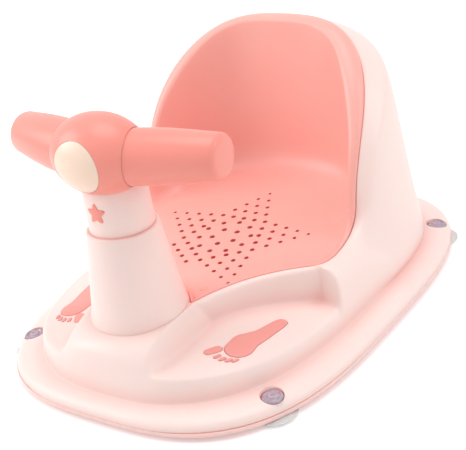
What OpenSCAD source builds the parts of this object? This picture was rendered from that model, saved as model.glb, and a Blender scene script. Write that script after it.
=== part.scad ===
// Baby bath seat: a pale moulded shell on four suction cups, a coral bucket with a star of drain
// holes, and a post with a two-grip handle. The front is -Y, and z = 0 is the floor of the bath.

/* [Base] */
// Width of the base flange
base_w = 305; // [290:1:320]
// Length of the base flange in front of its widest place
base_front = 190; // [184:1:200]
// Length of the base flange behind its widest place
base_rear = 230; // [220:1:240]
// Place of the widest part of the base, from the origin
base_mid_y = -20; // [-24:1:-16]
// Height of the base ring above the floor of the bath
ride_h = 4; // [3:0.5:6]
// Height of the base ring, up to the seam line
ring_h = 4; // [3:0.5:6]
// Width of the base ring
ring_w = 26; // [22:1:32]
// Height of the flange at its outer edge, above the floor
edge_h = 14.5; // [13:0.5:17]
// Height of the crease between the flange and the body
crease_h = 21; // [19:0.5:24]

/* [Body] */
// Width of the flange beside the body
flange_side = 19; // [16:0.5:22]
// Width of the flange in front of the body
flange_front = 12; // [10:0.5:14]
// Width of the flange behind the body
flange_rear = 40; // [34:1:44]
// Wall of the shell
shell_wall = 3; // [2.5:0.1:3.5]
// Height of the footwell floor, under the ball of the foot
floor_h = 40; // [38:0.5:42]
// Fall of the footwell floor to the outside, in degrees
floor_fall = 5.5; // [3:0.5:7]
// Rise of the footwell floor to the back, in degrees
floor_rise = 1.5; // [0:0.5:3]
// Height of the crest between the footwells and the bucket
crest_h = 68; // [66:0.5:70]
// Half width of the raised nose that carries the post
nose_half = 42; // [40:0.5:44]
// Width of the crest beside the bucket
crest_w = 7; // [6:0.5:8]

/* [Bucket] */
// Room between the side of the body and the bucket's seam
seat_side = 23.5; // [21:0.5:26]
// Height of the seam at the top of the back
back_h = 217; // [200:1:230]
// How far back the top of the seam lies
back_y = 127; // [120:1:132]
// Radius of the rolled rim at the top of the back
roll_top = 8.5; // [7:0.5:9.5]
// Radius of the rolled rim at the sides
roll_side = 5.2; // [4:0.1:6.5]
// Wall of the bucket
liner_wall = 2.5; // [2:0.1:3]
// Height of the bucket's floor at the middle of the star
pan_h = 67; // [64:0.5:69]
// Rise of the bucket's floor to the back, in degrees
pan_tilt = 5; // [3:0.5:7]
// Gap between the bucket and the shell
liner_gap = 0.3; // [0.2:0.05:0.5]

/* [Drain star] */
// Distance from the middle of the star to its tips
star_r = 75; // [68:1:78]
// Diameter of the drain holes in the middle
drain_d = 5.2; // [4:0.1:6]
// Diameter of the drain hole at each tip
drain_tip_d = 3; // [2.4:0.1:3.6]

/* [Post] */
// Place of the post's axis, from the origin
post_y = -136; // [-138:0.5:-134]
// Diameter of the socket at its foot
socket_foot_d = 77; // [74:0.5:80]
// Diameter of the socket at its top
socket_top_d = 57; // [56:0.5:62]
// Height of the top of the socket
socket_h = 138; // [130:1:146]
// Wall of the socket
socket_wall = 3; // [2.5:0.1:3]
// Diameter of the stem above the socket
stem_d = 51.6; // [50:0.2:52.4]
// Diameter of the stem under the hub
stem_top_d = 50; // [48:0.2:51]
// Wall of the stem
stem_wall = 2.6; // [2.2:0.1:3]
// Length of the stem that shows between the socket and the hub
stem_show = 37; // [30:0.5:44]
// Depth of the stem's plug in the socket
plug_depth = 46; // [36:1:52]
// Gap between pieces that are fitted together
fit_gap = 0.3; // [0.2:0.05:0.4]

/* [Handle] */
// How far the middle of the hub lies in front of the post's axis
hub_forward = 8; // [7:0.5:9]
// Diameter of the hub
hub_d = 62.5; // [60:0.5:65]
// Width of the hub across the two grips
hub_w = 82; // [78:1:86]
// How far the grips lie in front of the middle of the hub
grip_forward = 3.5; // [3:0.1:4]
// Diameter of each grip at the hub
grip_d = 43; // [41:0.5:44]
// Diameter of each grip at its end
grip_end_d = 34; // [33:0.2:36]
// Length of each grip from the middle line to its end
grip_reach = 106.5; // [98:0.5:112]
// Angle at which the grips sweep back, in degrees
grip_sweep = 15; // [12:0.5:16]
// Wall of the grips and the hub
grip_wall = 3; // [2.5:0.1:3.5]
// Diameter of the cover in the front of the hub
cap_d = 41; // [39:0.2:43]

/* [Footprints] */
// Length of a footprint from heel to toes
foot_l = 76; // [68:1:80]
// Gap round the footprint in the footwell floor
foot_gap = 0.3; // [0.2:0.05:0.4]

/* [Suction cups] */
// Distance of the front cups from the side of the base
cup_in_front = 29.5; // [28.5:0.5:31]
// Distance of the front cups from the front of the base
cup_back_front = 65.5; // [64:0.5:67]
// Distance of the rear cups from the side of the base
cup_in_rear = 33.5; // [32.5:0.5:35]
// Distance of the rear cups from the rear of the base
cup_back_rear = 61; // [60:0.5:63]
// Diameter of a cup at its lip
cup_d = 36; // [34:0.5:40]
// Diameter of the head on top of the flange
cup_head_d = 16.5; // [15:0.5:18]
// Diameter of the cup's neck in the flange
cup_neck_d = 9; // [8:0.5:10]

/* [Hidden] */

pale = [0.99, 0.91, 0.88];
coral = [0.97, 0.62, 0.58];
cream = [0.99, 0.90, 0.83];
clear = [0.78, 0.76, 0.82];
steel = [0.75, 0.76, 0.78];

// Sizes that follow from the ones above
body_w = base_w - 2 * flange_side;
body_front = base_front - flange_front;
body_rear = base_rear - flange_rear;
seat_half = body_w / 2 - seat_side;
cup_x_front = base_w / 2 - cup_in_front;
cup_y_front = base_mid_y - base_front + cup_back_front;
cup_x_rear = base_w / 2 - cup_in_rear;
cup_y_rear = base_mid_y + base_rear - cup_back_rear;
stem_top = socket_h + stem_show;
hub_over = 25;
hub_z = stem_top + hub_over;

// Shared curves

function mix(a, b, t) = a + (b - a) * t;
function clamp01(t) = min(1, max(0, t));
function ease(t) = let (c = clamp01(t)) c * c * (3 - 2 * c);
function unit(v) = v / norm(v);
function curve3(a, c, b, t) = (1 - t) * (1 - t) * a + 2 * t * (1 - t) * c + t * t * b;

// A squared oval round the middle of the base, asked for by its direction from there
function oval(half_w, front, rear, n_front, n_rear, dir) =
    let (c = cos(dir), s = sin(dir), n = s < 0 ? n_front : n_rear, l = s < 0 ? front : rear,
         r = pow(pow(abs(c) / half_w, n) + pow(abs(s) / l, n), -1 / n))
    [r * c, base_mid_y + r * s];
function base_edge(dir, inset) =
    oval(base_w / 2 - inset, base_front - inset, base_rear - inset, 3, 3.3, dir);
function body_edge(dir, inset) =
    oval(body_w / 2 - inset, body_front - inset, body_rear - inset, 2.64, 4, dir);

// The footwell floor is a plane that falls to the outside and rises to the back
well_x = mix(nose_half, body_w / 2, 0.437);
well_y = -120;
function floor_z(x, y) =
    floor_h - tan(floor_fall) * (abs(x) - well_x)
        + tan(floor_rise) / cos(floor_fall) * (y - well_y);

// The floor of the bucket is a plane too
pan_y = -16;
function pan_z(y) = pan_h + tan(pan_tilt) * (y - pan_y);

// The seam between shell and bucket, one half of it, in five stretches from the front to the top
notch_r = socket_foot_d / 2 + 1.5;
notch_turn = 62;
leg_start = [notch_r * sin(notch_turn), post_y + notch_r * cos(notch_turn), crest_h - 5];
leg_bend = [0.49 * seat_half, -66, crest_h - 1];
leg_end = [seat_half - 7, -39, crest_h];
corner_bend = [seat_half + 3, -34, crest_h];
side_start = [seat_half + 1, -12, crest_h];
arch_low = 122;
arch_y = 33;
arch_from = -4;
function seam_notch(t) =
    [notch_r * sin(notch_turn * t), post_y + notch_r * cos(notch_turn * t), crest_h - 5];
function seam_leg(t) = curve3(leg_start, leg_bend, leg_end, t);
function seam_corner(t) = curve3(leg_end, corner_bend, side_start, t);
function seam_arch(turn) =
    let (h = sign(sin(turn)) * pow(abs(sin(turn)), 2 / 2.8))
    [seat_half * pow(max(cos(turn), 0), 2 / 2.8),
     arch_y + (back_y - arch_y) * (0.45 * h + 0.55 * h * h),
     arch_low + (back_h - arch_low) * h];
function seam_side(t) =
    let (top = seam_arch(arch_from)) curve3(side_start, [seat_half, top[1] - 1, crest_h], top, t);

// Stations round the seat, from the middle of the front to the middle of the back:
// [point on the seam, direction of the outer end, way out of the seam, kind, tall share, wall foot]
nose = 0;
well = 1;
shoulder = 2;
seat_inner = seat_half - 11;
wall_foot_y = 40;
wall_foot_l = 68;
nose_dirs = [-90, -86.6, -83.4, -80.3, -78.4, -76.4];
function near_foot(p, dir) = [p[0] - 5 * cos(dir), p[1] - 5 * sin(dir)];
function far_foot(turn) =
    [seat_inner * pow(max(cos(turn), 0), 2 / 3.6),
     wall_foot_y + wall_foot_l * pow(sin(turn), 2 / 3.6)];
stations = concat(
    [for (i = [0:4]) let (p = seam_notch(i / 4), out = -90 + 28 * pow(i / 5, 2))
        [p, nose_dirs[i], out, nose, 0, near_foot(p, -90 + 12 * i)]],
    [let (p = seam_leg(0.06)) [p, nose_dirs[5], -62, nose, 0, near_foot(p, -38)]],
    [for (i = [0:8])
        let (t = i / 8, p = seam_leg(0.12 + 0.88 * t), out = -33 - 18 * sin(180 * t) + 8 * t)
        [p, mix(-74.4, -11.5, t), out, well, 0, near_foot(p, out)]],
    [for (i = [0:4]) let (t = i / 4, p = seam_corner(0.06 + 0.94 * t), out = mix(-18, 0, t))
        [p, mix(-9.8, 10, t), out, shoulder, 0.1 * t,
         mix(near_foot(p, out), [seat_inner, -12], t)]],
    [for (i = [1:4]) let (t = i / 4)
        [seam_side(t), mix(10, 26, t), 0, shoulder, mix(0.1, 1, ease(t)),
         [seat_inner, mix(-12, wall_foot_y, t)]]],
    [for (i = [1:12]) let (t = i / 12)
        [seam_arch(mix(arch_from, 90, t)), mix(26, 90, t), 0, shoulder, 1,
         far_foot(90 * pow(t, 1.3))]]);
last_station = len(stations) - 1;

// The outer face of the shell: ring k at station s
crest_steps = [0, 0.3, 0.65, 0.9, 0.98, 1.35];
tall_steps = [0, 0.012, 0.04, 0.085, 0.15, 0.24, 0.36, 0.5, 0.65, 0.8, 0.91, 0.985];
nose_drop = [5, 4, 3.6, 3.6, 3.6, 3.6, 3.6, 6, 12, 20, 31];
nose_fall = [0, 0, 0, 0, 0, 0, 1, 4, 10, 9, 3];
shoulder_drop = [1.6, 1.6, 1.2, 0.8, 0.4, 0, -1.2, -4, -11, -25];
function low_plan(s, k) =
    let (out = [cos(s[2]), sin(s[2])], root = [s[0][0], s[0][1]])
    k < 6 ? root + out * crest_w * crest_steps[k] :
    k < 8 ? mix(low_plan(s, 5), body_edge(s[1], 10), (k - 5) / 3) :
    body_edge(s[1], [10, 4.5, 1.5, 0][k - 8]);
function low_height(s, k, p) =
    let (across = pow(clamp01(abs(p[0]) / nose_half), 2))
    k == 0 ? s[0][2] :
    k == 11 ? crease_h + 3 :
    s[3] == nose ? crest_h - nose_drop[k] - across * nose_fall[k] :
    s[3] == shoulder ? s[0][2] + shoulder_drop[k - 1] :
    k == 1 ? s[0][2] + 0.6 :
    k == 2 ? s[0][2] - 1 :
    k == 3 ? s[0][2] - 5 :
    floor_z(p[0], p[1]) + [3, 0, 0, 0, 0, 0.3, -5][k - 4];
function low_point(s, k) = let (p = low_plan(s, k)) [p[0], p[1], low_height(s, k, p)];
function tall_point(s, k) =
    let (share = tall_steps[k], foot = body_edge(s[1], 0),
         out = 0.73 * pow(share, 0.13) + 0.27 * pow(share, 2))
    [mix(s[0][0], foot[0], out), mix(s[0][1], foot[1], out), mix(s[0][2], crease_h + 3, share)];
function flange_point(s, k) =
    let (p = [body_edge(s[1], -3.5), base_edge(s[1], 8), base_edge(s[1], 2.5),
              base_edge(s[1], 0), base_edge(s[1], 0)][k],
         z = [crease_h, edge_h + 3, edge_h + 0.8, edge_h - 2.5, ride_h + ring_h][k])
    [p[0], p[1], z];
body_rings = 12;
all_rings = 17;
function half_point(s, k) =
    k < body_rings ? mix(low_point(s, k), tall_point(s, k), s[4])
                   : flange_point(s, k - body_rings);

// A half ring mirrored into a whole one
function around(half) =
    concat(half, [for (i = [len(half) - 2:-1:1]) [-half[i][0], half[i][1], half[i][2]]]);
shell_face = [for (k = [0:all_rings - 1]) around([for (s = stations) half_point(s, k)])];

// Unit normal of a face made of rings, pointing into the wall
function face_normal(g, k, j) =
    let (n = len(g[0]), lo = max(k - 1, 0), hi = min(k + 1, len(g) - 1))
    unit(cross(g[k][(j + 1) % n] - g[k][(j + n - 1) % n], g[hi][j] - g[lo][j]));
shell_back = [for (k = [0:all_rings - 1]) [for (j = [0:len(shell_face[0]) - 1])
    let (p = shell_face[k][j])
    k == 0 ? p - [0, 0, shell_wall] :
    k < all_rings - 1 ? p + shell_wall * face_normal(shell_face, k, j) :
    let (n = face_normal(shell_face, k, j)) p + shell_wall * unit([n[0], n[1], 0])]];
kept_back = [16, 15, 14, 12, 11, 10, 8, 6, 5, 4, 3, 2, 0];

// Closed solid from rings that go down one face and back up the other
module ring_solid(rings) {
    n = len(rings[0]);
    m = len(rings);
    polyhedron(
        points = [for (r = rings) each r],
        faces = [for (k = [0:m - 1]) for (j = [0:n - 1])
            let (a = k * n + j, b = k * n + (j + 1) % n, c = ((k + 1) % m) * n + (j + 1) % n,
                 d = ((k + 1) % m) * n + j)
            each [[a, b, c], [a, c, d]]]);
}

// Closed solid from rings between two middle points
module bowl_solid(first, rings, last) {
    n = len(rings[0]);
    m = len(rings);
    polyhedron(
        points = concat([first], [for (r = rings) each r], [last]),
        faces = concat(
            [for (j = [0:n - 1]) [0, 1 + (j + 1) % n, 1 + j]],
            [for (k = [0:m - 2]) for (j = [0:n - 1])
                let (a = 1 + k * n + j, b = 1 + k * n + (j + 1) % n, c = b + n, d = a + n)
                each [[a, b, c], [a, c, d]]],
            [for (j = [0:n - 1]) [m * n + 1, 1 + (m - 1) * n + j, 1 + (m - 1) * n + (j + 1) % n]]));
}

// Shell: the body and flange as one moulding, with the socket for the post on its nose
foot_z = crest_h - 4;
socket_base = crest_h - 16;
web_z = socket_h - plug_depth;
plug_r = stem_d / 2 - 1.6;
web_t = 3;
tab_t = 3;
boss_x = 28;
boss_y = -89;
boss_front = 24;
boss_back = 7;
side_boss_x = seat_half - 18;
side_boss_y = 30;
tab_z = pan_h - 11.5;
bracket_z = pan_h - 1;
screw_d = 3.5;
screw_gap = 0.15;
screw_head_d = 7;
pad_d = 20.4;
pad_z = 16.6;
cups = [[cup_x_front, cup_y_front], [cup_x_rear, cup_y_rear]];
ring_screw_dirs = [-64, 0, 72];
module both_sides() {
    children();
    mirror([1, 0, 0]) children();
}

module socket_outside() {
    translate([0, post_y, 0]) rotate_extrude($fn = 60)
        polygon([[0, socket_base], [socket_foot_d / 2 + 0.6, socket_base],
                 [socket_foot_d / 2, foot_z], [socket_top_d / 2, socket_h - 3],
                 [socket_top_d / 2 - 0.7, socket_h - 0.8], [socket_top_d / 2 - 2.2, socket_h],
                 [0, socket_h]]);
}
module socket_inside() {
    foot = socket_foot_d / 2 - socket_wall;
    translate([0, post_y, 0]) {
        cylinder(h = foot_z, r1 = foot + 1.8, r2 = foot, $fn = 60);
        translate([0, 0, foot_z - 0.1])
            cylinder(h = web_z - web_t - foot_z + 0.1, r1 = foot, r2 = foot - 4, $fn = 60);
        cylinder(h = socket_h, d = screw_d + 2 * screw_gap, $fn = 16);
        translate([0, 0, web_z]) cylinder(h = plug_depth + 1, r = plug_r + fit_gap, $fn = 60);
    }
}
module seat_shell() {
    color(pale) difference() {
        union() {
            ring_solid(concat(shell_face, [for (k = kept_back) shell_back[k]]));
            socket_outside();
            translate([-boss_x - 6, boss_y - boss_front, tab_z - tab_t])
                cube([2 * boss_x + 12, boss_front + boss_back, tab_t]);
            both_sides() {
                translate([side_boss_x - 6, side_boss_y - 8, bracket_z - tab_t])
                    cube([body_w / 2 - side_boss_x - 1, 16, tab_t]);
                for (c = cups) translate([c[0], c[1], ride_h + ring_h])
                    cylinder(h = pad_z - ride_h - ring_h, d = pad_d - 0.4, $fn = 36);
                for (a = ring_screw_dirs) translate(concat(base_edge(a, 12), [ride_h + ring_h]))
                    cylinder(h = 7, d = 8, $fn = 16);
            }
        }
        socket_inside();
        both_sides() {
            for (c = cups) translate([c[0], c[1], pad_z])
                cylinder(h = 9, d = pad_d, $fn = 36);
            for (c = cups) translate([c[0], c[1], 0])
                cylinder(h = 30, d = cup_neck_d + 2 * fit_gap, $fn = 24);
            for (a = ring_screw_dirs) translate(concat(base_edge(a, 12), [ride_h]))
                cylinder(h = 9, d = screw_d + 2 * screw_gap, $fn = 16);
            translate([boss_x, boss_y, tab_z - 9])
                cylinder(h = 10, d = screw_d + 2 * screw_gap, $fn = 16);
            translate([side_boss_x, side_boss_y, bracket_z - 9])
                cylinder(h = 10, d = screw_d + 2 * screw_gap, $fn = 16);
            well_frame() foot_hole();
        }
    }
}

// Liner: the bucket, with a rolled rim that lies on the top edge of the shell
function roll_r(s) =
    mix(1.6, roll_side, s[4])
        + (roll_top - roll_side) * ease((s[0][2] - arch_low + 20) / (back_h - arch_low));
function seam_way(j) =
    let (a = stations[max(j - 1, 0)][0], b = stations[min(j + 1, last_station)][0])
    j == 0 ? [1, 0, 0] : j == last_station ? [-1, 0, 0] : unit(b - a);
function foot_point(s) = [s[5][0], s[5][1], pan_z(s[5][1])];
function out_way(j) =
    let (s = stations[j], t = seam_way(j), up = s[0] - foot_point(s),
         plan = [cos(s[2]), sin(s[2]), 0], flat = unit(plan - (plan * t) * t),
         wall = unit(cross(t, up)))
    s[4] == 1 ? wall : unit(mix(flat, wall, ease((s[4] - 0.1) / 0.9)));
roll_turns = [0, 30, 60, 90, 120, 150, 180];
roll_flat = 0.68;
function roll_point(j, turn, r) =
    let (s = stations[j], out = out_way(j), up = cross(out, seam_way(j)), big = roll_r(s))
    s[0] + liner_gap * up - big * out + r * (cos(turn) * out + roll_flat * sin(turn) * up);
function wall_point(j, t) =
    let (s = stations[j], top = roll_point(j, 180, roll_r(s)), foot = foot_point(s),
         bend = min(mix(2, 26, s[4]), 0.45 * norm(top - foot)), mid = [0, pan_y, pan_h],
         low = foot + bend * unit(top - foot), flat = foot + bend * unit(mid - foot))
    t < 0.5 ? mix(top, low, 2 * t) : curve3(low, foot, flat, 2 * t - 1);
wall_steps = [0.25, 0.5, 0.7, 0.85, 1];
liner_half = [for (j = [0:last_station])
    concat([for (t = [len(wall_steps) - 1:-1:0]) wall_point(j, wall_steps[t])],
           [for (a = [len(roll_turns) - 1:-1:0]) roll_point(j, roll_turns[a], roll_r(stations[j]))])];
liner_rings = len(liner_half[0]);
liner_face = [for (k = [0:liner_rings - 1]) around([for (j = [0:last_station]) liner_half[j][k]])];
function liner_depth(k, j) =
    let (i = j <= last_station ? j : 2 * last_station - j)
    mix(liner_wall, min(liner_wall, 0.55 * roll_r(stations[i])), clamp01((k - 2) / 3));
liner_back = [for (k = [0:liner_rings - 1]) [for (j = [0:2 * last_station - 1])
    liner_face[k][j] + liner_depth(k, j) * (k == 0 ? [0, 0, -1] : face_normal(liner_face, k, j))]];

// Places of the holes of the drain star, as shares of its size
star_inner = 0.508;
function ray(dir) = [cos(dir), sin(dir)];
tip_dirs = [for (i = [0:4]) 90 + 72 * i];
arm_spots = [for (a = tip_dirs) for (row = [0:3]) for (i = [0:row])
    let (left = mix(ray(a), star_inner * ray(a + 36), row / 4),
         right = mix(ray(a), star_inner * ray(a - 36), row / 4))
    row == 0 ? ray(a) : mix(left, right, i / row)];
side_spots = [for (a = tip_dirs) for (i = [0:3])
    star_inner * mix(ray(a - 36), ray(a + 36), i / 4)];
middle_spots = concat([for (i = [0:9]) 0.315 * ray(18 + 36 * i)],
                      [for (i = [0:4]) 0.155 * ray(54 + 72 * i)]);
drain_spots = concat(arm_spots, side_spots, middle_spots);

module pan_frame() {
    translate([0, pan_y, pan_h]) rotate([pan_tilt, 0, 0]) children();
}
module seat_liner() {
    color(coral) difference() {
        union() {
            bowl_solid([0, pan_y, pan_h],
                       concat(liner_face, [for (k = [liner_rings - 1:-1:0]) liner_back[k]]),
                       [0, pan_y, pan_h - liner_wall]);
            both_sides() {
                translate([boss_x, boss_y, tab_z])
                    cylinder(h = pan_z(boss_y) + 0.7 - tab_z, d = 7, $fn = 24);
                translate([side_boss_x, side_boss_y, bracket_z])
                    cylinder(h = pan_z(side_boss_y) - 0.8 - bracket_z, d = 8, $fn = 24);
            }
        }
        pan_frame() for (v = drain_spots)
            translate([star_r * v[0], star_r * v[1], -6])
                cylinder(h = 12, d = mix(drain_d, drain_tip_d, pow(norm(v), 1.5)), $fn = 24);
        both_sides() {
            translate([boss_x, boss_y, tab_z - 1])
                cylinder(h = 3.6, d = screw_d + 0.1, $fn = 24);
            translate([side_boss_x, side_boss_y, bracket_z - 1])
                cylinder(h = 3.6, d = screw_d + 0.1, $fn = 24);
        }
    }
}

// Base ring: closes the flange from below and leaves the middle open for the water
cup_clear = 14.6;
module base_ring() {
    color(pale) difference() {
        translate([0, 0, ride_h]) linear_extrude(height = ring_h) difference() {
            polygon([for (i = [0:71]) base_edge(5 * i, fit_gap)]);
            polygon([for (i = [0:71]) base_edge(5 * i, ring_w)]);
        }
        both_sides() {
            for (c = cups) translate([c[0], c[1], 0])
                cylinder(h = 20, r = cup_clear, $fn = 48);
            for (a = ring_screw_dirs) translate(concat(base_edge(a, 12), [0])) {
                cylinder(h = 20, d = screw_d + 2 * screw_gap, $fn = 24);
                cylinder(h = ride_h + 2.2, d = screw_head_d + 4 * screw_gap, $fn = 24);
            }
        }
    }
}

// Screw with a flat head, head down, with the seat of the head at z = 0
module screw(shank) {
    rotate_extrude($fn = 24)
        polygon([[0, -1], [1, -1], [1.1, -2], [screw_head_d / 2 - 0.4, -2],
                 [screw_head_d / 2, -1.5], [screw_head_d / 2, 0], [screw_d / 2, 0],
                 [screw_d / 2, shank - 1], [screw_d / 2 - 0.8, shank], [0, shank]]);
}
module base_screws() {
    color(steel) both_sides()
        for (a = ring_screw_dirs) translate(concat(base_edge(a, 12), [ride_h + 2.2])) screw(7.5);
}
module liner_screws() {
    color(steel) both_sides() {
        translate([boss_x, boss_y, tab_z - tab_t]) screw(tab_t + 2.4);
        translate([side_boss_x, side_boss_y, bracket_z - tab_t]) screw(tab_t + 2.4);
    }
}

// Post: the stem with its plug, the star inlaid in it and the screw that holds it
neck_r = 20;
neck_top = stem_top + 17;
star_z = mix(socket_h, stem_top, 0.54);
star_tip = 0.227 * stem_show;
screw_floor = 14;
star_depth = 1.6;
star_proud = 0.5;
module stem_shape(grow) {
    translate([0, post_y, 0]) rotate_extrude($fn = 72)
        polygon([[0, socket_h], [stem_d / 2 + grow, socket_h],
                 [stem_top_d / 2 + grow, stem_top], [0, stem_top]]);
}
module star_outline(grow) {
    rotate([90, 0, 0]) linear_extrude(height = stem_d) offset(r = 1 + grow)
        polygon([for (i = [0:9]) let (r = (i % 2 == 0 ? star_tip : star_tip * 0.52) - 1)
            [r * cos(90 + 36 * i), r * sin(90 + 36 * i)]]);
}
module handle_stem() {
    color(pale) difference() {
        union() {
            translate([0, post_y, 0]) {
                translate([0, 0, web_z]) cylinder(h = plug_depth + 1, r = plug_r, $fn = 72);
                cylinder(h = neck_top, r = neck_r, $fn = 72);
            }
            stem_shape(0);
        }
        translate([0, post_y, -1]) cylinder(h = web_z + 1, r = neck_r + 1, $fn = 72);
        translate([0, post_y, web_z + screw_floor])
            cylinder(h = neck_top, r = neck_r - stem_wall, $fn = 72);
        translate([0, post_y, web_z - 1])
            cylinder(h = screw_floor - 2, d = screw_d + 0.1, $fn = 24);
        translate([0, post_y, hub_z - hub_screw_down]) rotate([90, 0, 0])
            cylinder(h = hub_d, d = screw_d + 0.1, $fn = 24);
        difference() {
            translate([0, post_y, star_z]) star_outline(0.15);
            stem_shape(-star_depth);
        }
    }
}
module stem_star() {
    color(coral) difference() {
        intersection() {
            translate([0, post_y, star_z]) star_outline(0);
            stem_shape(star_proud);
        }
        stem_shape(0.15 - star_depth);
    }
}
module stem_screw() {
    color(steel) translate([0, post_y, web_z - web_t]) screw(web_t + 9);
}

// Handle: a hollow hub on the stem, with a stub at each side for the grip
hub_y = post_y - hub_forward;
hub_r = hub_d / 2;
root_x = 26;
stub_r = grip_end_d / 2 - grip_wall - fit_gap;
stub_end = 62;
cap_plane = hub_r - 11.5;
cap_down = 1;
grip_down = 1.5;
cap_room = 0.25;
hub_screw_down = 14;
module hub_frame() {
    translate([0, hub_y, hub_z]) children();
}
module hub_ball(inset) {
    hub_frame() rotate([0, 90, 0]) rotate_extrude($fn = 72)
        polygon([for (a = [-90:7.5:90]) [(hub_r - inset) * cos(a), (hub_w / 2 - inset) * sin(a)]]);
}
module cap_drum(d) {
    hub_frame() translate([0, -cap_plane, -cap_down]) rotate([90, 0, 0])
        cylinder(h = hub_r, d = d, $fn = 72);
}
module grip_frame() {
    hub_frame() translate([0, -grip_forward, -grip_down]) rotate([0, 90, grip_sweep]) children();
}
module grip_drum(r) {
    grip_frame() cylinder(h = stub_end + 10, r = r, $fn = 72);
}
module outside(x) {
    hub_frame() translate([x, -hub_w, -hub_w]) cube([2 * grip_reach, 2 * hub_w, 2 * hub_w]);
}
module hub_hollow() {
    difference() {
        hub_ball(grip_wall);
        hub_frame() translate([-hub_w, -hub_w - cap_plane + grip_wall, -hub_w])
            cube([2 * hub_w, hub_w, 2 * hub_w]);
        both_sides() intersection() {
            grip_drum(grip_d / 2 + cap_room + grip_wall);
            outside(root_x - grip_wall);
        }
    }
}
module handle_hub() {
    color(coral) difference() {
        union() {
            hub_ball(0);
            translate([0, post_y, stem_top])
                cylinder(h = 15, r1 = stem_top_d / 2 + 0.4, r2 = stem_top_d / 2 + 1, $fn = 72);
            both_sides() grip_frame() cylinder(h = stub_end, r = stub_r, $fn = 48);
        }
        translate([0, post_y, stem_top - hub_d]) cylinder(h = hub_d, r = hub_d, $fn = 72);
        both_sides() {
            difference() {
                intersection() {
                    grip_drum(grip_d / 2 + cap_room);
                    outside(root_x);
                }
                grip_drum(stub_r);
            }
            grip_frame() translate([0, 0, root_x - 8])
                cylinder(h = stub_end, r = stub_r - 2.5, $fn = 48);
        }
        hub_hollow();
        translate([0, post_y, stem_top - 1])
            cylinder(h = neck_top - stem_top + 2, r = neck_r + fit_gap, $fn = 72);
        cap_drum(cap_d + 2 * cap_room);
        translate([0, post_y, hub_z - hub_screw_down]) rotate([90, 0, 0])
            cylinder(h = hub_d, d = screw_d + 2 * screw_gap, $fn = 24);
    }
}
module hub_screw() {
    color(steel) translate([0, hub_y - cap_plane, hub_z - hub_screw_down]) rotate([-90, 0, 0])
        screw(9);
}

// Cover in the front of the hub, flush with it and hollow behind
module hub_cap() {
    color(cream) difference() {
        intersection() {
            cap_drum(cap_d);
            hub_ball(0);
        }
        intersection() {
            cap_drum(cap_d - 6);
            hub_ball(2.6);
        }
    }
}
module grip() {
    r_in = stub_r + fit_gap;
    r_end = grip_end_d / 2;
    intersection() {
        grip_frame() rotate_extrude($fn = 72)
            polygon([[r_in, 0], [grip_d / 2, 0], [grip_d / 2 - 0.3, 58],
                     [r_end + 0.9, grip_reach - 16], [r_end, grip_reach - 6.4],
                     [r_end - 0.8, grip_reach - 4.6], [r_end - 2.6, grip_reach - 3.2],
                     [0.62 * r_end, grip_reach - 1.6], [0.32 * r_end, grip_reach - 0.4],
                     [0, grip_reach], [0, grip_reach - grip_wall - 3],
                     [r_in, grip_reach - grip_wall - 3]]);
        outside(root_x + 0.2);
    }
}
module right_grip() {
    color(coral) grip();
}
module left_grip() {
    color(coral) mirror([1, 0, 0]) grip();
}

// Footprints: a plate under the footwell floor, with the sole and toes standing up through it
sole_z = 0.6;
plate_t = 1.6;
sole_spots = [[3.5, -7, 11.6], [3, 1, 11.2], [9.5, 14, 7.4], [15.5, 33, 5.6]];
big_toe_spots = [[-15, -22, 3.6], [-11, -16, 3.9]];
small_toe_spots = [[-6.1, -24.2, 2.1], [-0.5, -24.5, 1.9], [4.5, -23.1, 1.8], [9.2, -20.8, 1.7]];
plate_spots = [[-12, -19, 8], [11, -24, 6.5], [15.5, 33, 10], [0, 0, 16]];
module well_frame() {
    translate([well_x, well_y, floor_z(well_x, well_y)]) rotate([floor_rise, floor_fall, 0]) children();
}
module spot(v) {
    translate([v[0], v[1]]) circle(r = v[2], $fn = 20);
}
module foot_outline(grow) {
    offset(r = grow) scale(foot_l / 76) {
        for (i = [0:2]) hull() {
            spot(sole_spots[i]);
            spot(sole_spots[i + 1]);
        }
        hull() {
            spot(big_toe_spots[0]);
            spot(big_toe_spots[1]);
        }
        for (v = small_toe_spots) spot(v);
    }
}
module foot_hole() {
    translate([0, 0, -9]) linear_extrude(height = 18) foot_outline(foot_gap);
}
module foot_pad() {
    under = shell_wall + fit_gap;
    well_frame() {
        translate([0, 0, -under - 0.4]) linear_extrude(height = under + 0.4 + sole_z)
            foot_outline(0);
        translate([0, 0, -under - plate_t]) linear_extrude(height = plate_t)
            hull() for (v = plate_spots) spot(v);
    }
}
module right_foot_pad() {
    color(coral) foot_pad();
}
module left_foot_pad() {
    color(coral) mirror([1, 0, 0]) foot_pad();
}

// Suction cups: pressed up through the flange, with a broad head on top
module suction_cup() {
    lip_r = cup_d / 2;
    head_r = cup_head_d / 2;
    rotate_extrude($fn = 48)
        polygon([[0, 3], [6, 2.6], [lip_r - 6.5, 1], [lip_r - 3, 0], [lip_r - 1.8, 0],
                 [lip_r, 1.3], [lip_r, 2.2], [lip_r - 5, 3.6], [10, 5.4], [7.8, 7.4],
                 [7.6, ride_h + ring_h], [cup_neck_d / 2, ride_h + ring_h],
                 [cup_neck_d / 2, pad_z], [head_r, pad_z], [head_r, pad_z + 1.6],
                 [head_r - 0.7, pad_z + 2.5], [head_r - 2.4, pad_z + 3], [3, pad_z + 3.2],
                 [0, pad_z + 3.2]]);
}
module suction_cup_front_right() {
    color(clear) translate([cup_x_front, cup_y_front, 0]) suction_cup();
}
module suction_cup_front_left() {
    color(clear) translate([-cup_x_front, cup_y_front, 0]) suction_cup();
}
module suction_cup_rear_right() {
    color(clear) translate([cup_x_rear, cup_y_rear, 0]) suction_cup();
}
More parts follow.
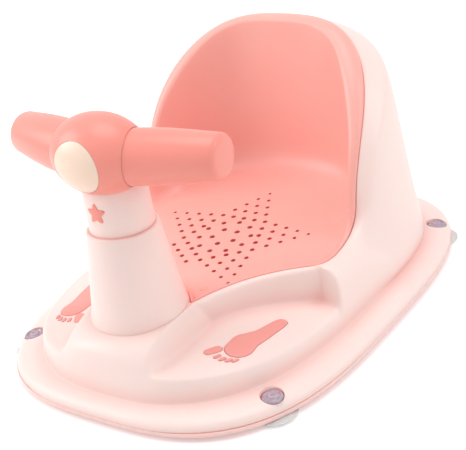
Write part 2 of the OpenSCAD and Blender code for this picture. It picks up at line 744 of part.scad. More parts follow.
module suction_cup_rear_left() {
    color(clear) translate([-cup_x_rear, cup_y_rear, 0]) suction_cup();
}

seat_shell();
seat_liner();
base_ring();
handle_stem();
stem_star();
handle_hub();
left_grip();
right_grip();
hub_cap();
left_foot_pad();
right_foot_pad();
suction_cup_front_left();
suction_cup_front_right();
suction_cup_rear_left();
suction_cup_rear_right();
hub_screw();
stem_screw();
liner_screws();
base_screws();
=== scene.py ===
import bpy, bmesh
from math import sin, cos, tan, pi, radians
from mathutils import Vector, Matrix


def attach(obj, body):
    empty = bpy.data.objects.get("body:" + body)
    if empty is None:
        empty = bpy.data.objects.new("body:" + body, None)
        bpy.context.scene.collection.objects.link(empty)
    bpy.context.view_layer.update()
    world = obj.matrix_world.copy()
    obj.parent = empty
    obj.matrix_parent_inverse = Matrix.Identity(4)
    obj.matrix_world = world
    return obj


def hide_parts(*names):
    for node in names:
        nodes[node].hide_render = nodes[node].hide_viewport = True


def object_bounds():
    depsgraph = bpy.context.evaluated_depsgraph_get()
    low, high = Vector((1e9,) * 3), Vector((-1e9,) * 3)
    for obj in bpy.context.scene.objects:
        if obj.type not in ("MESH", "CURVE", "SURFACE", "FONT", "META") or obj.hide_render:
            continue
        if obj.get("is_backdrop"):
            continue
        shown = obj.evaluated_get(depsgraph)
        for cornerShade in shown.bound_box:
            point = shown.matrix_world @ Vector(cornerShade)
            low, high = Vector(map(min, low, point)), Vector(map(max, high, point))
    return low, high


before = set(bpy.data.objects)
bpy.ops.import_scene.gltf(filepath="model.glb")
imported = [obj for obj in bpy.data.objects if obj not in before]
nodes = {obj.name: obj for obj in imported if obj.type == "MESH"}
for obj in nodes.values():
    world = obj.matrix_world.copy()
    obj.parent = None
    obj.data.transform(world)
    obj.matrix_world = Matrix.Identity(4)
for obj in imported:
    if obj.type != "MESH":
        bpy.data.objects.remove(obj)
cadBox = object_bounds()
print("frame loaded with", len(nodes), "nodes")

mm = 0.001


def mix(a, b, t):
    return a + (b - a) * t


def clamp01(t):
    return min(1.0, max(0.0, t))


def ease(t):
    t = clamp01(t)
    return t * t * (3 - 2 * t)


def bendLine(a, c, b, t):
    return (1 - t) ** 2 * a + 2 * t * (1 - t) * c + t * t * b


def linked(name, bm):
    mesh = bpy.data.meshes.new(name)
    bm.to_mesh(mesh)
    bm.free()
    obj = bpy.data.objects.new(name, mesh)
    bpy.context.scene.collection.objects.link(obj)
    return obj


def smooth(obj, angle=35):
    obj.data.polygons.foreach_set("use_smooth", [True] * len(obj.data.polygons))
    if angle:
        obj.data.set_sharp_from_angle(angle=radians(angle))
    return obj


def finishPiece(bm, name, smoothAngle=35, recalc=True):
    bmesh.ops.remove_doubles(bm, verts=bm.verts, dist=1e-6)
    if recalc:
        bmesh.ops.recalc_face_normals(bm, faces=bm.faces)
    return smooth(linked(name, bm), smoothAngle)


def applyModifiers(obj):
    bpy.context.view_layer.update()
    graph = bpy.context.evaluated_depsgraph_get()
    mesh = bpy.data.meshes.new_from_object(obj.evaluated_get(graph))
    obj.modifiers.clear()
    obj.data = mesh
    return obj


def thickened(obj, thickness, offset):
    m = obj.modifiers.new("wall", "SOLIDIFY")
    m.thickness, m.offset = thickness * mm, offset
    return obj


def subdivided(obj, levels):
    m = obj.modifiers.new("smooth form", "SUBSURF")
    m.levels = m.render_levels = levels
    return obj


def combined(obj, other, operation="DIFFERENCE"):
    m = obj.modifiers.new("cut", "BOOLEAN")
    m.operation, m.solver, m.object = operation, "MANIFOLD", other
    applyModifiers(obj)
    bpy.data.objects.remove(other)
    return obj


def cleaned(obj):
    # slivers that a cut or a bevel leaves are drawn together
    bm = bmesh.new()
    bm.from_mesh(obj.data)
    bmesh.ops.remove_doubles(bm, verts=bm.verts, dist=2e-5)
    bmesh.ops.dissolve_degenerate(bm, edges=bm.edges, dist=1e-5)
    bm.to_mesh(obj.data)
    bm.free()
    return obj


def softened(obj, width, segments=2, angle=50):
    # sharp edges get a small round
    m = obj.modifiers.new("soft edges", "BEVEL")
    m.width, m.segments = width * mm, segments
    m.limit_method, m.angle_limit = "ANGLE", radians(angle)
    return cleaned(applyModifiers(obj))


def joined(name, parts):
    bm = bmesh.new()
    for p in parts:
        bm.from_mesh(p.data)
        bpy.data.objects.remove(p)
    return linked(name, bm)


def loftRings(bm, rings):
    # one ring from the circle operator, then each next ring is extruded from the last and set in place
    ring = bmesh.ops.create_circle(bm, segments=len(rings[0]), radius=1)["verts"]
    for v, p in zip(ring, rings[0]):
        v.co = Vector(p) * mm
    first = list(ring)
    for points in rings[1:]:
        edges = [bm.edges.get((ring[i], ring[i - 1])) for i in range(len(ring))]
        made = bmesh.ops.extrude_edge_only(bm, edges=edges)["geom"]
        fresh = {v for v in made if isinstance(v, bmesh.types.BMVert)}
        ring = [next(e.other_vert(v) for e in v.link_edges if e.other_vert(v) in fresh) for v in ring]
        for v, p in zip(ring, points):
            v.co = Vector(p) * mm
    return first


def closeRing(bm, ring, centre):
    # the open ring is drawn together into its middle point
    edges = [bm.edges.get((ring[i], ring[i - 1])) for i in range(len(ring))]
    made = bmesh.ops.extrude_edge_only(bm, edges=edges)["geom"]
    fresh = [v for v in made if isinstance(v, bmesh.types.BMVert)]
    for v in fresh:
        v.co = Vector(centre) * mm
    bmesh.ops.remove_doubles(bm, verts=fresh, dist=1e-6)


def placeAt(x, y, z, rotation=None):
    m = Matrix.Translation(Vector((x, y, z)) * mm)
    return m @ rotation.to_4x4() if rotation else m


def spunPiece(name, profile, place=Matrix.Identity(4), steps=96, angle=35):
    # profile of (radius, height) in mm, spun about Z and then put in place
    bm = bmesh.new()
    verts = [bm.verts.new((r * mm, 0, z * mm)) for r, z in profile]
    edges = [bm.edges.new((a, b)) for a, b in zip(verts, verts[1:])]
    bmesh.ops.spin(bm, geom=verts + edges, cent=(0, 0, 0), axis=(0, 0, 1), dvec=(0, 0, 0),
                   angle=2 * pi, steps=steps, use_merge=True, use_duplicate=False)
    bmesh.ops.transform(bm, matrix=place, verts=bm.verts)
    return finishPiece(bm, name, angle)


def roundedProfile(points, radii, steps=4):
    # the corners of a profile are rounded with short arcs
    out = []
    for i, p in enumerate(points):
        r = radii[i] if i < len(radii) else 0
        if r == 0 or i in (0, len(points) - 1):
            out.append(tuple(p))
            continue
        p, a, b = Vector(p), Vector(points[i - 1]), Vector(points[i + 1])
        r = min(r, (a - p).length * 0.49, (b - p).length * 0.49)
        s, e = p + (a - p).normalized() * r, p + (b - p).normalized() * r
        out += [tuple(bendLine(s, p, e, k / steps)) for k in range(steps + 1)]
    return out


def tube(inner, outer, low, high):
    return [(inner, low), (outer, low), (outer, high), (inner, high), (inner, low)]


def drum(radius, low, high):
    return [(0, low), (radius, low), (radius, high), (0, high)]


def roundEdges(bm, edges, width, segments):
    bmesh.ops.bevel(bm, geom=edges, offset=width * mm, affect="EDGES", segments=segments, profile=0.5,
                    material=-1)


def blockPiece(name, size, centre, edge):
    bm = bmesh.new()
    bmesh.ops.create_cube(bm, size=mm)
    bmesh.ops.scale(bm, vec=size, verts=bm.verts)
    roundEdges(bm, bm.edges[:], edge, 2)
    bmesh.ops.translate(bm, vec=Vector(centre) * mm, verts=bm.verts)
    return finishPiece(bm, name)


def reopened(obj):
    # the mesh of a finished piece is taken up again, and the piece is removed
    bm = bmesh.new()
    bm.from_mesh(obj.data)
    bpy.data.objects.remove(obj)
    return bm


def mirroredCopy(obj, name):
    bm = bmesh.new()
    bm.from_mesh(obj.data)
    bmesh.ops.scale(bm, vec=(-1, 1, 1), verts=bm.verts)
    bmesh.ops.reverse_faces(bm, faces=bm.faces)
    return linked(name, bm)


def bothSides(piece):
    return [piece, mirroredCopy(piece, piece.name + "Left")]


def tone(r, g, b):
    # a colour as it is seen on screen, turned into the linear values of the shader
    return tuple(((c / 255 + 0.055) / 1.055) ** 2.4 if c > 10 else c / 3294 for c in (r, g, b)) + (1,)


# plastics, vinyl and steel, each with a faint cloud in its colour and a fine grain
surface = {"cloudDetail": 3, "cloudEdges": (0.3, 0.7), "grainDetail": 2, "smoother": 0.03, "rougher": 0.04,
           "bumpDepth": 0.0002, "ior": 1.46, "glowDepth": 0.004}


def plasticMaterial(name, look):
    mat = bpy.data.materials.new(name)
    mat.use_nodes = True
    tree = mat.node_tree
    shader = tree.nodes["Principled BSDF"]
    coords = tree.nodes.new("ShaderNodeTexCoord")
    cloud = tree.nodes.new("ShaderNodeTexNoise")
    cloud.inputs["Scale"].default_value = look["cloudScale"]
    cloud.inputs["Detail"].default_value = surface["cloudDetail"]
    ramp = tree.nodes.new("ShaderNodeValToRGB")
    start, end = ramp.color_ramp.elements
    start.position, end.position = surface["cloudEdges"]
    start.color, end.color = tone(*look["deep"]), tone(*look["colour"])
    grain = tree.nodes.new("ShaderNodeTexNoise")
    grain.inputs["Scale"].default_value = look["grainScale"]
    grain.inputs["Detail"].default_value = surface["grainDetail"]
    spread = tree.nodes.new("ShaderNodeMapRange")
    spread.inputs["To Min"].default_value = look["rough"] - surface["smoother"]
    spread.inputs["To Max"].default_value = look["rough"] + surface["rougher"]
    bump = tree.nodes.new("ShaderNodeBump")
    bump.inputs["Strength"].default_value = look["bump"]
    bump.inputs["Distance"].default_value = surface["bumpDepth"]
    link = tree.links.new
    link(coords.outputs["Object"], cloud.inputs["Vector"])
    link(coords.outputs["Object"], grain.inputs["Vector"])
    link(cloud.outputs["Fac"], ramp.inputs["Fac"])
    link(ramp.outputs["Color"], shader.inputs["Base Color"])
    link(grain.outputs["Fac"], spread.inputs["Value"])
    link(spread.outputs["Result"], shader.inputs["Roughness"])
    link(grain.outputs["Fac"], bump.inputs["Height"])
    link(bump.outputs["Normal"], shader.inputs["Normal"])
    shader.inputs["IOR"].default_value = surface["ior"]
    shader.inputs["Subsurface Weight"].default_value = look["glow"]
    shader.inputs["Subsurface Radius"].default_value = look["glowRadius"]
    shader.inputs["Subsurface Scale"].default_value = surface["glowDepth"]
    shader.inputs["Transmission Weight"].default_value = look.get("clear", 0.0)
    shader.inputs["Metallic"].default_value = look.get("metal", 0.0)
    return mat


def otherTone(mat, colour, value, low, high):
    # the other colour shows where the value is low, the material's own colour where it is high
    tree = mat.node_tree
    colourIn, link = tree.nodes["Principled BSDF"].inputs["Base Color"], tree.links.new
    spread, blend = tree.nodes.new("ShaderNodeMapRange"), tree.nodes.new("ShaderNodeMix")
    spread.inputs["From Min"].default_value, spread.inputs["From Max"].default_value = low, high
    blend.data_type = "RGBA"
    blend.inputs["A"].default_value = tone(*colour)
    link(value, spread.inputs["Value"])
    link(spread.outputs["Result"], blend.inputs["Factor"])
    link(colourIn.links[0].from_socket, blend.inputs["B"])
    link(blend.outputs["Result"], colourIn)


def heightOf(mat):
    tree = mat.node_tree
    coords, split = tree.nodes.new("ShaderNodeTexCoord"), tree.nodes.new("ShaderNodeSeparateXYZ")
    tree.links.new(coords.outputs["Object"], split.inputs["Vector"])
    return split.outputs["Z"]


# ambient occlusion, the mask of the painted shade in inner corners, creases and holes
def occlusionShadeOf(mat, reach):
    near = mat.node_tree.nodes.new("ShaderNodeAmbientOcclusion")
    near.samples = 4  # few are enough for so soft a tint
    near.inputs["Distance"].default_value = reach
    return near.outputs["AO"]


# the pale and the bucket plastic each carry a darker, redder colour of painted shade for their inner
# corners, creases and holes
paleLook = {"colour": (252, 228, 222), "deep": (251, 225, 219),
            "cornerShade": (248, 160, 152), "cornerShadeReach": 0.016, "cornerShadeSpan": (0.2, 0.92),
            "cloudScale": 14, "grainScale": 900, "rough": 0.36, "bump": 0.02,
            "glow": 0.25, "glowRadius": (1.0, 0.35, 0.28)}
coralLook = {"colour": (250, 154, 141), "deep": (249, 150, 137),
             "cloudScale": 14, "grainScale": 900, "rough": 0.3, "bump": 0.02,
             "glow": 0.12, "glowRadius": (1.0, 0.3, 0.22)}
bucketLook = {"colour": (251, 180, 170), "deep": (250, 176, 166),
              "cornerShade": (236, 70, 62), "cornerShadeReach": 0.008, "cornerShadeSpan": (0.1, 0.8),
              "cloudScale": 14, "grainScale": 900, "rough": 0.34, "bump": 0.02,
              "glow": 0.1, "glowRadius": (1.0, 0.3, 0.22)}
creamLook = {"colour": (253, 226, 207), "deep": (252, 223, 204),
             "cloudScale": 20, "grainScale": 900, "rough": 0.3, "bump": 0.02,
             "glow": 0.2, "glowRadius": (1.0, 0.5, 0.3)}
soleLook = {"colour": (246, 166, 158), "deep": (243, 160, 152),
            "cloudScale": 30, "grainScale": 1400, "rough": 0.5, "bump": 0.06,
            "glow": 0.2, "glowRadius": (1.0, 0.3, 0.22)}
# the vinyl's near-white colour for its low lips is painted light, standing in for the bright floor under
# the cups
vinylLook = {"colour": (232, 214, 226), "deep": (198, 176, 196),
             "low": (244, 243, 243), "paintedLightSpan": (0.004, 0.012),
             "cloudScale": 260, "grainScale": 1200, "rough": 0.16, "bump": 0.03,
             "glow": 0.1, "glowRadius": (0.8, 0.8, 1.0), "clear": 0.35}
steelLook = {"colour": (205, 206, 210), "deep": (190, 191, 196),
             "cloudScale": 200, "grainScale": 1500, "rough": 0.32, "bump": 0.05,
             "glow": 0.0, "glowRadius": (1.0, 1.0, 1.0), "metal": 1.0}
pale = plasticMaterial("palePlastic", paleLook)
coral = plasticMaterial("coralPlastic", coralLook)
bucketCoral = plasticMaterial("bucketPlastic", bucketLook)
cream = plasticMaterial("creamPlastic", creamLook)
sole = plasticMaterial("solePlastic", soleLook)
vinyl = plasticMaterial("clearVinyl", vinylLook)
steel = plasticMaterial("zincSteel", steelLook)
# lips of the cups are thin, and their lower part is painted paler, painted light for the bright floor
# under them; inner corners and holes are painted redder and darker than the open faces, painted shade laid
# in by ambient occlusion
otherTone(vinyl, vinylLook["low"], heightOf(vinyl), *vinylLook["paintedLightSpan"])
for mat, look in ((pale, paleLook), (bucketCoral, bucketLook)):
    otherTone(mat, look["cornerShade"], occlusionShadeOf(mat, look["cornerShadeReach"]), *look["cornerShadeSpan"])


def dress(obj, material, slotName, *replaced):
    obj.data.materials.clear()
    obj.data.materials.append(material)
    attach(obj, "root")
    if replaced:
        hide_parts(*replaced)
    print("piece", obj.name, len(obj.data.polygons), "faces")
    return obj


# lines that the shell and the bucket share, in mm
base = {"w": 305, "front": 190, "rear": 230, "frontPower": 3, "rearPower": 3.3, "midY": -20,
        "ride": 4, "ring": 4, "ringW": 26, "edgeH": 14.5, "creaseH": 21,
        "screwIn": 12, "screwDirs": [-64, 0, 72]}
body = {"w": 267, "front": 178, "rear": 190, "frontPower": 2.64, "rearPower": 4,
        "wall": 3, "floor": 40, "fall": 5.5, "rise": 1.5, "crest": 68, "noseHalf": 42, "crestW": 7}
bucket = {"half": 110, "backH": 217, "backY": 127, "pan": 67, "tilt": 5, "panY": -16, "wall": 1.6,
          "rollTop": 10, "rollSide": 3.6, "rollLow": 1.6, "footGap": 5, "footIn": 11,
          "footFront": -12, "footTurn": 40, "footDepth": 68, "footPower": 2 / 2.25}
arch = {"low": 122, "y": 33, "start": -4, "power": 2 / 2.8}
post = {"y": -136, "footD": 77, "topD": 57, "h": 138, "plug": 46, "wall": 3.4,
        "stemD": 51.6, "stemTopD": 50, "stemTop": 175, "neckR": 20, "neckTop": 192, "boreR": 17.4}
cups = {"front": (123, -144.5), "rear": (119, 149)}
cupForm = {"neckR": 4.5, "neckFoot": 8, "headR": 8.4, "headZ": 14.4, "room": 0.4}
bossAt = {"front": (28, -89), "side": (92, 30)}
wellX, wellY = mix(body["noseHalf"], body["w"] / 2, 0.437), -120
notchR, notchTurn = post["footD"] / 2 + 1.5, 62
crest, footX = body["crest"], bucket["half"] - bucket["footIn"]
postPlace = placeAt(0, post["y"], 0)


def oval(form, way, inset):
    # the front and the rear half each have a length and a squareness of their own
    c, s = cos(radians(way)), sin(radians(way))
    end = "front" if s < 0 else "rear"
    n = form[end + "Power"]
    r = ((abs(c) / (form["w"] / 2 - inset)) ** n + (abs(s) / (form[end] - inset)) ** n) ** (-1 / n)
    return Vector((r * c, base["midY"] + r * s))


def baseEdge(way, inset):
    return oval(base, way, inset)


def bodyEdge(way, inset):
    return oval(body, way, inset)


def floorZ(x, y):
    return body["floor"] - tan(radians(body["fall"])) * (abs(x) - wellX) \
        + tan(radians(body["rise"])) / cos(radians(body["fall"])) * (y - wellY)


def panZ(y):
    return bucket["pan"] + tan(radians(bucket["tilt"])) * (y - bucket["panY"])


def seamNotch(t):
    a = radians(notchTurn * t)
    return Vector((notchR * sin(a), post["y"] + notchR * cos(a), crest - 5))


def seamLeg(t):
    bend, end = Vector((54, -66, crest - 1)), Vector((bucket["half"] - 7, -39, crest))
    return bendLine(seamNotch(1), bend, end, t)


def seamCorner(t):
    bend, end = Vector((bucket["half"] + 3, -34, crest)), Vector((bucket["half"] + 1, -12, crest))
    return bendLine(seamLeg(1), bend, end, t)


def seamArch(turn):
    # the arch is nearly square, and leans back more and more on its way up
    s, c = sin(radians(turn)), max(cos(radians(turn)), 0)
    h = (1 if s >= 0 else -1) * abs(s) ** arch["power"]
    lean = 0.45 * h + 0.55 * h * h
    return Vector((bucket["half"] * c ** arch["power"], arch["y"] + (bucket["backY"] - arch["y"]) * lean,
                   arch["low"] + (bucket["backH"] - arch["low"]) * h))


def seamSide(t):
    top = seamArch(arch["start"])
    return bendLine(seamCorner(1), Vector((bucket["half"], top.y - 1, crest)), top, t)


def footNear(p, way):
    gap = bucket["footGap"]
    return Vector((p.x - gap * cos(radians(way)), p.y - gap * sin(radians(way))))


def footFar(turn):
    s, c = sin(radians(turn)), max(cos(radians(turn)), 0)
    return Vector((footX * c ** bucket["footPower"],
                   bucket["footTurn"] + bucket["footDepth"] * s ** bucket["footPower"]))


# stations round the seat: a point of the seam, the direction of the outer end, the way out of the seam,
# how much of the tall wall it has, and the foot of the bucket's wall
stations = []


def station(seam, direction, way, kind, tall, foot):
    stations.append({"seam": seam, "direction": direction, "way": way,
                     "kind": kind, "tall": tall, "foot": foot})


# directions of the outer ends in degrees, and where along each stretch of the seam the stations stand
walk = {"noseDirs": [-90, -86.6, -83.4, -80.3, -78.4],
        "legDirs": [(0.045, -77.1, -64.5), (0.06, -76.4, -62)],
        "wellFrom": 0.12, "wellDirs": (-74.4, -11.5),
        "wellSteps": [0, 0.03] + [i / 8 for i in range(1, 8)] + [0.965, 1],
        "cornerFrom": 0.06, "cornerDirs": (-9.8, 10), "cornerTall": 0.1,
        "cornerSteps": [0, 0.08, 0.25, 0.5, 0.75, 1],
        "sideDir": 26, "sideSteps": 4, "archSteps": 12, "archSpread": 1.3}
for i, direction in enumerate(walk["noseDirs"]):
    p = seamNotch(i / 4)
    station(p, direction, -90 + 28 * (i / 5) ** 2, "nose", 0, footNear(p, -90 + 12 * i))
for at, direction, way in walk["legDirs"]:
    p = seamLeg(at)
    station(p, direction, way, "nose", 0, footNear(p, -38))
for t in walk["wellSteps"]:
    p, out = seamLeg(mix(walk["wellFrom"], 1, t)), -33 - 18 * sin(pi * t) + 8 * t
    station(p, mix(*walk["wellDirs"], t), out, "well", 0, footNear(p, out))
for t in walk["cornerSteps"]:
    p, out = seamCorner(mix(walk["cornerFrom"], 1, t)), mix(-18, 0, t)
    station(p, mix(*walk["cornerDirs"], t), out, "shoulder", walk["cornerTall"] * t,
            mix(footNear(p, out), Vector((footX, bucket["footFront"])), t))
for i in range(1, walk["sideSteps"] + 1):
    t = i / walk["sideSteps"]
    station(seamSide(t), mix(walk["cornerDirs"][1], walk["sideDir"], t), 0, "shoulder",
            mix(walk["cornerTall"], 1, ease(t)),
            Vector((footX, mix(bucket["footFront"], bucket["footTurn"], t))))
for i in range(1, walk["archSteps"] + 1):
    t = i / walk["archSteps"]
    station(seamArch(mix(arch["start"], 90, t)), mix(walk["sideDir"], 90, t), 0, "shoulder", 1,
            footFar(90 * t ** walk["archSpread"]))
lastStation = len(stations) - 1


def around(half):
    return half + [Vector((-p.x, p.y, p.z)) for p in half[-2:0:-1]]


# footprints: outlines of circles in a line, laid in the plane of the footwell floor
footForm = {"sole": [(3.5, -7, 11.6), (3, 1, 11.2), (9.2, 14.5, 7.4), (14.2, 35, 5.6)],
            "bigToe": [(-15, -22, 3.6), (-11, -16, 3.9)],
            "smallToes": [(-6.6, -25.0, 1.6), (-1.2, -25.8, 1.55), (3.9, -24.9, 1.5), (8.6, -22.8, 1.4)],
            "toeWay": (1.3, 2.8),
            "plate": [(-12, -19, 8), (11, -24, 6.5), (15.5, 33, 10), (0, 0, 16), (-12, -19, 8)],
            "rise": 0.6, "under": 3.3, "plateT": 1.6, "soft": 0.4, "room": 0.35}
footTilt = Matrix.Rotation(radians(body["fall"]), 3, "Y") @ Matrix.Rotation(radians(body["rise"]), 3, "X")
footPlace = placeAt(wellX, wellY, floorZ(wellX, wellY), footTilt)
printShapes = [(footForm["sole"], (6.5, 6), 96), (footForm["bigToe"], (-13, -19), 48)]
toeX, toeY = footForm["toeWay"]
printShapes += [([(x, y, r), (x + toeX, y + toeY, r)], (x + toeX / 2, y + toeY / 2), 28)
                for x, y, r in footForm["smallToes"]]


def inStroke(p, strokes, grow):
    # is the point inside the line of growing circles
    for (ax, ay, ar), (bx, by, br) in zip(strokes, strokes[1:]):
        a, b = Vector((ax, ay)), Vector((bx, by))
        t = clamp01((p - a).dot(b - a) / (b - a).length_squared)
        if (p - mix(a, b, t)).length < mix(ar, br, t) + grow:
            return True
    return False


def strokeDisc(bm, strokes, centre, grow, segments):
    # a flat circle is pushed out to the edge of the strokes
    for v in bmesh.ops.create_circle(bm, cap_ends=True, segments=segments, radius=1)["verts"]:
        way, low, high = v.co.xy.normalized(), 0.0, 60.0
        for _ in range(22):
            middle = (low + high) / 2
            if inStroke(Vector(centre) + way * middle, strokes, grow):
                low = middle
            else:
                high = middle
        v.co = Vector((*(Vector(centre) + way * low), 0)) * mm


def strokeSolid(name, shapes, low, high, grow=0.0, roundTop=0.0):
    bm = bmesh.new()
    for strokes, centre, segments in shapes:
        strokeDisc(bm, strokes, centre, grow, segments)
    bmesh.ops.translate(bm, verts=bm.verts, vec=(0, 0, low * mm))
    made = bmesh.ops.extrude_face_region(bm, geom=bm.faces[:])["geom"]
    top = {v for v in made if isinstance(v, bmesh.types.BMVert)}
    bmesh.ops.translate(bm, verts=list(top), vec=(0, 0, (high - low) * mm))
    bmesh.ops.recalc_face_normals(bm, faces=bm.faces)
    if roundTop:
        edges = [e for e in bm.edges if all(v in top for v in e.verts)]
        roundEdges(bm, edges, roundTop, 3)
    bmesh.ops.transform(bm, matrix=footPlace, verts=bm.verts)
    return finishPiece(bm, name, 40)


# shell: body, flange and socket for the post in one moulding
shellForm = {"crestSteps": [0, 0.3, 0.7, 0.93, 1.0, 1.2],
             "tallSteps": [0, 0.012, 0.04, 0.085, 0.15, 0.24, 0.36, 0.5, 0.65, 0.8, 0.92, 0.99],
             "noseDrop": [5, 3.6, 2.6, 2.6, 2.6, 2.6, 2.0, 1.9, 8, 18, 30],
             "noseFall": [0, 0, 0, 0, 0, 0, 1, 4, 10, 9, 3],
             "shoulderDrop": [-1.6, -1.6, -1.2, -0.8, -0.4, 0, 1.2, 4, 11, 25],
             "lipRise": [0.6, -0.9, -4.5], "wellRise": [2, 0, 0, 0, 0, 0.3, -5],
             "lowInsets": [10, 5.5, 3.6, 3.1], "creaseRise": 1, "creaseDrop": 1.7, "creaseIn": 2.5,
             "flangeInsets": [8, 2.5, 0], "flangeRises": [2.7, 0.8, -2.5], "tallFoot": 0.6,
             "extraRings": [(16, 0.88), (13, 0.12), (1, 0.07)], "levels": 2}


# rows of the shell, from the seam outwards: 0 to 5 over the edge, 6 to 11 down to the crease, where a well
# has its floor from row 4 to row 10, and 12 to 16 over the flange
def lowPlan(s, k):
    way, insets = radians(s["way"]), shellForm["lowInsets"]
    if k < 6:
        return s["seam"].xy + Vector((cos(way), sin(way))) * body["crestW"] * shellForm["crestSteps"][k]
    if k < 8:
        return mix(lowPlan(s, 5), bodyEdge(s["direction"], insets[0]), (k - 5) / 3)
    return bodyEdge(s["direction"], insets[k - 8])


def lowHeight(s, k, p):
    if k == 0:
        return s["seam"].z
    if k == 11:
        return base["creaseH"] + shellForm["creaseRise"]
    if s["kind"] == "nose":
        aside = clamp01(abs(p.x) / body["noseHalf"]) ** 2
        return crest - shellForm["noseDrop"][k] - aside * shellForm["noseFall"][k]
    if s["kind"] == "shoulder":
        return s["seam"].z - shellForm["shoulderDrop"][k - 1]
    if k < 4:
        return s["seam"].z + shellForm["lipRise"][k - 1]
    return floorZ(p.x, p.y) + shellForm["wellRise"][k - 4]


def flangePoint(way, k):
    if k == 12:
        return Vector((*bodyEdge(way, shellForm["creaseIn"]), base["creaseH"] - shellForm["creaseDrop"]))
    if k == 16:
        return Vector((*baseEdge(way, 0), base["ride"] + base["ring"]))
    return Vector((*baseEdge(way, shellForm["flangeInsets"][k - 13]),
                   base["edgeH"] + shellForm["flangeRises"][k - 13]))


def shellPoint(s, k):
    if k > 11:
        return flangePoint(s["direction"], k)
    p = lowPlan(s, k)
    low = Vector((p.x, p.y, lowHeight(s, k, p)))
    share, foot = shellForm["tallSteps"][k], bodyEdge(s["direction"], shellForm["tallFoot"])
    plan = mix(s["seam"].xy, foot, 0.73 * share ** 0.13 + 0.27 * share ** 2)
    tall = Vector((plan.x, plan.y, mix(s["seam"].z, base["creaseH"] + shellForm["creaseRise"], share)))
    return mix(low, tall, s["tall"])


shellRings = [around([shellPoint(s, k) for s in stations]) for k in range(17)]
for at, t in shellForm["extraRings"]:
    shellRings.insert(at, [mix(a, b, t) for a, b in zip(shellRings[at - 1], shellRings[at])])
bm = bmesh.new()
loftRings(bm, shellRings)
shell = finishPiece(bm, "shellBody", 0)
thickened(shell, body["wall"], -1)
subdivided(shell, shellForm["levels"])
applyModifiers(shell)

# the shell is opened for the post, the footprints and the cups, each with its room
neckR, headR, headZ, cupGap = cupForm["neckR"], cupForm["headR"], cupForm["headZ"], cupForm["room"]
openings = [spunPiece("underPost", drum(post["footD"] / 2 - 2, 30, 90), postPlace, 96)]
openings += bothSides(strokeSolid("footRoom", printShapes, -9, 9, footForm["room"]))
headRoom = [(0, -2), (neckR + cupGap, -2), (neckR + cupGap, headZ), (headR + cupGap, headZ), (9, 15.2),
            (9.3, 17.2), (10.6, 19.4), (12, 26), (0, 26)]
for x, y in cups.values():
    openings += bothSides(spunPiece("cupRoom", headRoom, placeAt(x, y, 0), 64))
combined(shell, joined("openings", openings))

socketForm = {"foot": 51, "deck": 65.4, "skirtOut": 1.5, "skirtDown": 3, "skirtUp": 7, "floor": 3,
              "rounds": [0, 0, 0, 5, 9, 3.2, 0.6, 0, 0, 0, 0, 0]}
r0, r1, h, deck = post["footD"] / 2, post["topD"] / 2, post["h"], socketForm["deck"]
bore, plugFoot = r1 - post["wall"], h - post["plug"]
socketLine = [(r0 - 3, socketForm["foot"]), (r0 + 1.9, socketForm["foot"] + 0.5),
              (r0 + socketForm["skirtOut"], deck - socketForm["skirtDown"]), (r0 + 0.5, deck + 0.8),
              (r0 - 1.1, deck + socketForm["skirtUp"]), (r1, h - 0.2), (bore, h), (bore, plugFoot),
              (2, plugFoot), (2, plugFoot - socketForm["floor"]), (r1 - 1, plugFoot - socketForm["floor"]),
              (r0 - 3, socketForm["foot"])]
under = [spunPiece("postSocket", roundedProfile(socketLine, socketForm["rounds"], 6), postPlace, 128)]
# tabs by size and middle, bosses by inner and outer radius, foot and top
fixings = {"frontTab": ((68, 31, 3), (0, -97.5, 54)), "sideBracket": ((37.5, 16, 3), (104.7, 30, 64.5)),
           "tabEdge": 0.4, "screwPost": (1.9, 4, 8, 15), "frontBoss": (1.8, 3.5, 55.5, 59.5),
           "sideBoss": (1.8, 4, 66, 69.4),
           "cupSeat": [(5, 8.6), (5, 8), (10, 8), (10, 14.2), (5, 14.2), (5, 8.6)],
           "bossMark": [(0, -0.6), (3.6, -0.6), (3.4, 0.2), (2.8, 0.6), (1.6, 0.9), (0, 1)]}
under += [blockPiece("frontTab", *fixings["frontTab"], fixings["tabEdge"])]
under += bothSides(blockPiece("sideBracket", *fixings["sideBracket"], fixings["tabEdge"]))
screwSpots = [baseEdge(way, base["screwIn"]) for way in base["screwDirs"]]
for x, y in screwSpots:
    under += bothSides(spunPiece("screwPost", tube(*fixings["screwPost"]), placeAt(x, y, 0), 24))
for x, y in cups.values():
    under += bothSides(spunPiece("cupSeat", fixings["cupSeat"], placeAt(x, y, 0), 48))
shell = smooth(joined("seatShell", [shell] + under), 40)
dress(shell, pale, "shell", "seat_shell")

# bucket: pan, walls and rolled rim, with the star of drain holes
linerForm = {"rollFlat": 0.7, "rollGrow": 1.6, "rollStart": 20,
             "rollTurns": [-26, 0, 22, 45, 68, 90, 112, 135, 158, 180],
             "wallSteps": [0.25, 0.5, 0.62, 0.75, 0.88, 1], "panSteps": [0.3, 0.6, 0.85, 0.96],
             "footBend": (2, 26), "levels": 2}
panMiddle = Vector((0, bucket["panY"], bucket["pan"]))


def rollR(s):
    # the roll of the rim grows from the front of the seat to the top of the back
    grown = ease((s["seam"].z - arch["low"] + linerForm["rollStart"]) / (bucket["backH"] - arch["low"]))
    return mix(bucket["rollLow"], bucket["rollSide"], s["tall"]) \
        + (bucket["rollTop"] - bucket["rollSide"]) * grown ** linerForm["rollGrow"]


def seamWay(j):
    if j == 0:
        return Vector((1, 0, 0))
    if j == lastStation:
        return Vector((-1, 0, 0))
    return (stations[j + 1]["seam"] - stations[j - 1]["seam"]).normalized()


def footPoint(s):
    return Vector((s["foot"].x, s["foot"].y, panZ(s["foot"].y)))


